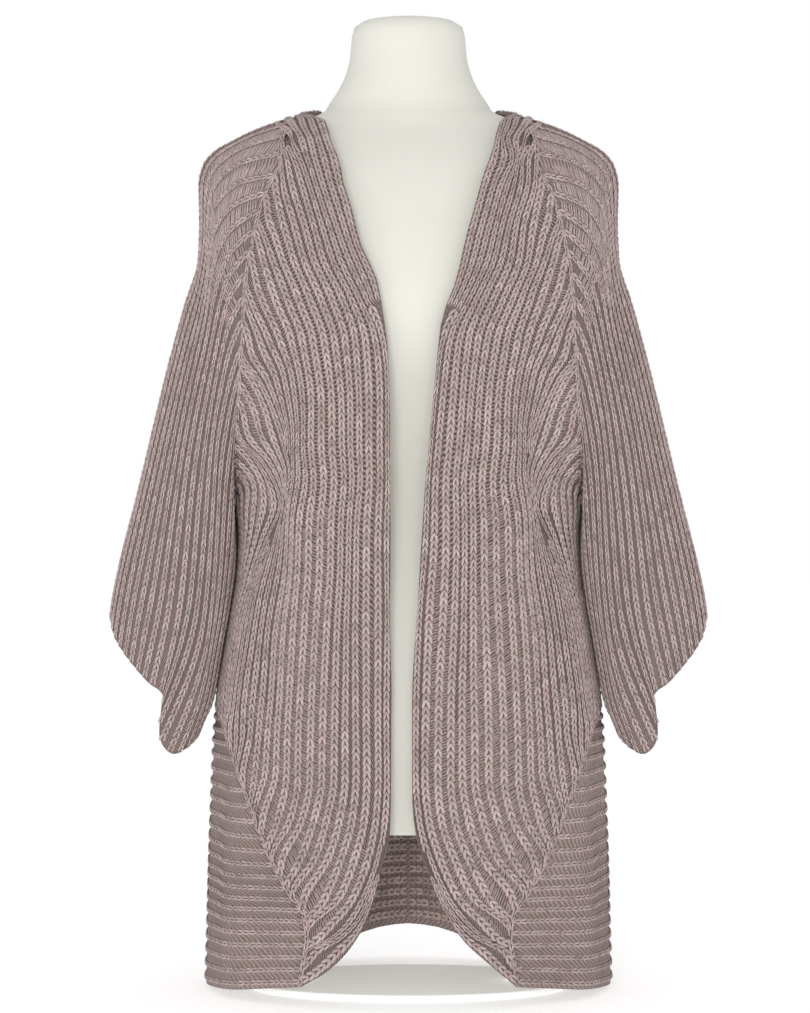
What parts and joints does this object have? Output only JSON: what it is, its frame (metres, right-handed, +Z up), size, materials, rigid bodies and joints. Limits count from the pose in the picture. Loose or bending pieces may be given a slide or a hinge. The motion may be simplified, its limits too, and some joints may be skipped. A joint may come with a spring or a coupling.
{
  "type": "ribbed knit cape on a limbless dress form",
  "caption": "Open-front ribbed knit cape with wide short sleeves and a rounded hem, worn on a smooth limbless dress form with a plain stand.",
  "frame": {"origin": "centre of the base's underside, on the floor straight below the neck of the form", "axes": "+Z up, -Y out of the open front, +X to the wearer's left"},
  "size_m": [0.5672, 0.2928, 0.915],
  "materials": {
    "body_wool": "thick ribbed knit in dusty mauve wool, matt and slightly fuzzy",
    "sleeve_wool": "the same ribbed knit, its ribs running down the sleeve",
    "cream_form": "smooth cream shell with a soft sheen"
  },
  "bodies": {
    "root": {"front_left": "body_wool", "front_right": "body_wool", "back": "body_wool", "sleeve_left": "sleeve_wool", "sleeve_right": "sleeve_wool", "dress_form": "cream_form", "post_left": "cream_form", "post_right": "cream_form", "base": "cream_form"}
  },
  "joints": []
}
